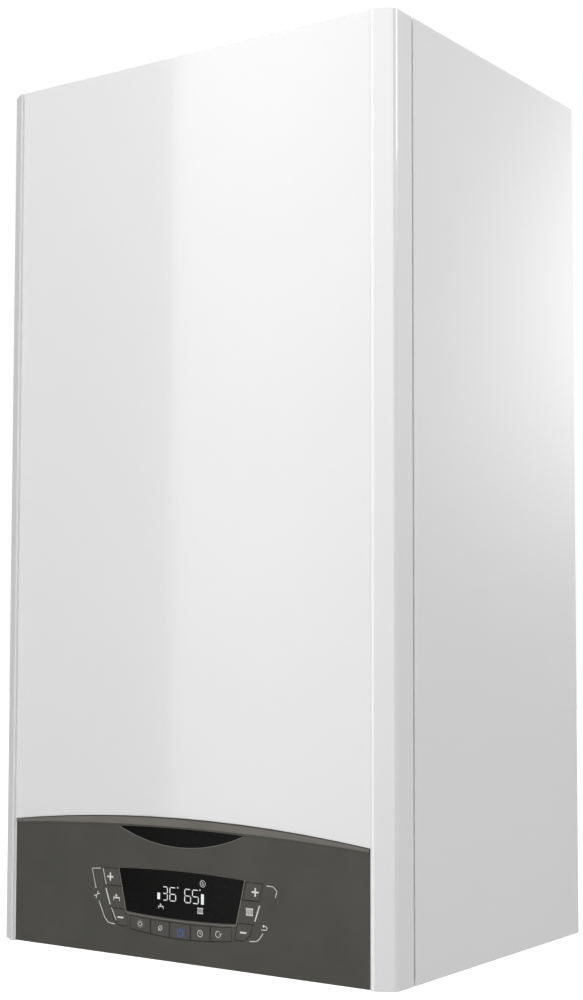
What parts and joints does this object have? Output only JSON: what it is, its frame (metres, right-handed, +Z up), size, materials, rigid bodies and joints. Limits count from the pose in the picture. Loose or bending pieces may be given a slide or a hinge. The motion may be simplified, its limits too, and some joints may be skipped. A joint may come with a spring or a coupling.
{
  "type": "wall-hung condensing boiler",
  "caption": "Wall-hung gas condensing boiler: white folded-steel casing with a lift-off front, an arched dark control panel that tilts out, and complete inner works.",
  "frame": {"origin": "on the wall plane, at mid width, at the foot of the casing", "axes": "+X to the viewer's right, +Y into the wall, +Z up; the front faces -Y"},
  "size_m": [0.4, 0.319, 0.788],
  "materials": {
    "white_enamel": "glossy white powder coat on sheet steel",
    "galvanised_sheet": "galvanised sheet steel",
    "zinc_fasteners": "zinc-plated steel",
    "foam_seal": "closed-cell foam",
    "fascia_plastic": "dark warm grey moulded plastic, satin gloss",
    "badge_black": "deep black gloss",
    "window_black": "smoked black window",
    "lcd": "liquid crystal display behind the window",
    "key_plastic": "dark grey key caps",
    "circuit_green": "printed circuit board",
    "grey_plastic": "grey moulded plastic",
    "stainless": "stainless steel",
    "cast_aluminium": "cast aluminium",
    "ceramic": "glazed ceramic and spark rods",
    "rotor_plastic": "dark glass-filled plastic",
    "motor_black": "black coated motor cans",
    "flue_white": "white polypropylene",
    "gas_yellow": "yellow coated steel tube",
    "vessel_red": "red lacquer",
    "copper": "drawn copper tube",
    "brass_fittings": "machined brass",
    "spindle_steel": "turned steel",
    "red_knob": "red moulded plastic",
    "blue_handle": "blue moulded plastic"
  },
  "bodies": {
    "root": {"side_panel_left": "white_enamel", "side_panel_right": "white_enamel", "top_panel": "white_enamel", "flue_collar": "white_enamel", "rear_frame": "galvanised_sheet", "bottom_rail": "galvanised_sheet", "chamber_box": "galvanised_sheet", "frame_screws": "zinc_fasteners", "hinge_pins": "zinc_fasteners", "air_silencer": "grey_plastic", "mixer": "grey_plastic", "condensate_hose": "grey_plastic", "heat_exchanger": "stainless", "exchanger_coil": "stainless", "burner": "stainless", "plate_heat_exchanger": "stainless", "burner_door": "cast_aluminium", "fan_housing": "cast_aluminium", "mixture_duct": "cast_aluminium", "gas_valve": "cast_aluminium", "electrodes": "ceramic", "fan_motor": "motor_black", "pump_motor": "motor_black", "diverter_motor": "motor_black", "flue_duct": "flue_white", "flue_socket": "flue_white", "condensate_trap": "flue_white", "gas_pipe": "gas_yellow", "gas_feed_pipe": "gas_yellow", "expansion_vessel": "vessel_red", "vessel_pipe": "copper", "flow_pipe": "copper", "return_pipe": "copper", "flow_group": "brass_fittings", "return_group": "brass_fittings"},
    "front_cover": {"front_cover": "white_enamel", "cover_screws": "zinc_fasteners"},
    "chamber_cover": {"chamber_cover": "galvanised_sheet", "chamber_seal": "foam_seal"},
    "control_box": {"control_fascia": "fascia_plastic", "badge_plate": "badge_black", "display_window": "window_black", "display_module": "lcd", "display_board": "circuit_green", "control_tray": "grey_plastic", "main_board": "circuit_green"},
    "fan_rotor": {"fan_impeller": "rotor_plastic"},
    "pump_rotor": {"pump_impeller": "rotor_plastic"},
    "diverter": {"diverter_spindle": "spindle_steel"},
    "safety_knob": {"safety_knob": "red_knob"},
    "filling_handle": {"filling_handle": "blue_handle"},
    "key_dhw_plus": {"key_dhw_plus": "key_plastic"},
    "key_dhw_minus": {"key_dhw_minus": "key_plastic"},
    "key_heat_plus": {"key_heat_plus": "key_plastic"},
    "key_heat_minus": {"key_heat_minus": "key_plastic"},
    "key_mode": {"key_mode": "key_plastic"},
    "key_comfort": {"key_comfort": "key_plastic"},
    "key_power": {"key_power": "key_plastic"},
    "key_auto": {"key_auto": "key_plastic"},
    "key_reset": {"key_reset": "key_plastic"}
  },
  "joints": [
    {"name": "front_cover_pull", "type": "slide", "parent": "root", "child": "front_cover", "axis": [0, -1, 0], "range_m": [0, 0.35]},
    {"name": "chamber_cover_pull", "type": "slide", "parent": "root", "child": "chamber_cover", "axis": [0, -1, 0], "range_m": [0, 0.175]},
    {"name": "control_box_tilt", "type": "hinge", "parent": "root", "child": "control_box", "pos_m": [0, -0.275, 0.015], "axis": [1, 0, 0], "range_deg": [0, 80]},
    {"name": "key_dhw_plus_press", "type": "slide", "parent": "control_box", "child": "key_dhw_plus", "axis": [0, 1, 0], "range_m": [0, 0.0008], "stiffness_N_per_m": 600},
    {"name": "key_dhw_minus_press", "type": "slide", "parent": "control_box", "child": "key_dhw_minus", "axis": [0, 1, 0], "range_m": [0, 0.0008], "stiffness_N_per_m": 600},
    {"name": "key_heat_plus_press", "type": "slide", "parent": "control_box", "child": "key_heat_plus", "axis": [0, 1, 0], "range_m": [0, 0.0008], "stiffness_N_per_m": 600},
    {"name": "key_heat_minus_press", "type": "slide", "parent": "control_box", "child": "key_heat_minus", "axis": [0, 1, 0], "range_m": [0, 0.0008], "stiffness_N_per_m": 600},
    {"name": "key_mode_press", "type": "slide", "parent": "control_box", "child": "key_mode", "axis": [0, 1, 0], "range_m": [0, 0.0008], "stiffness_N_per_m": 600},
    {"name": "key_comfort_press", "type": "slide", "parent": "control_box", "child": "key_comfort", "axis": [0, 1, 0], "range_m": [0, 0.0008], "stiffness_N_per_m": 600},
    {"name": "key_power_press", "type": "slide", "parent": "control_box", "child": "key_power", "axis": [0, 1, 0], "range_m": [0, 0.0008], "stiffness_N_per_m": 600},
    {"name": "key_auto_press", "type": "slide", "parent": "control_box", "child": "key_auto", "axis": [0, 1, 0], "range_m": [0, 0.0008], "stiffness_N_per_m": 600},
    {"name": "key_reset_press", "type": "slide", "parent": "control_box", "child": "key_reset", "axis": [0, 1, 0], "range_m": [0, 0.0008], "stiffness_N_per_m": 600},
    {"name": "fan_spin", "type": "hinge", "parent": "root", "child": "fan_rotor", "pos_m": [0.122, -0.25, 0.418], "axis": [0, 1, 0], "continuous": true},
    {"name": "pump_spin", "type": "hinge", "parent": "root", "child": "pump_rotor", "pos_m": [0.13, -0.144, 0.1], "axis": [0, 1, 0], "continuous": true},
    {"name": "diverter_shift", "type": "slide", "parent": "root", "child": "diverter", "axis": [0, 1, 0], "range_m": [0, 0.006]},
    {"name": "safety_knob_turn", "type": "hinge", "parent": "root", "child": "safety_knob", "pos_m": [-0.134, -0.18, 0.042], "axis": [0, 1, 0], "range_deg": [0, 90]},
    {"name": "filling_handle_turn", "type": "hinge", "parent": "root", "child": "filling_handle", "pos_m": [0.118, -0.17, 0.038], "axis": [0, 1, 0], "range_deg": [0, 90]}
  ],
  "couplings": [
    {"joint": "chamber_cover_pull", "follows": "front_cover_pull", "ratio": 0.5}
  ]
}
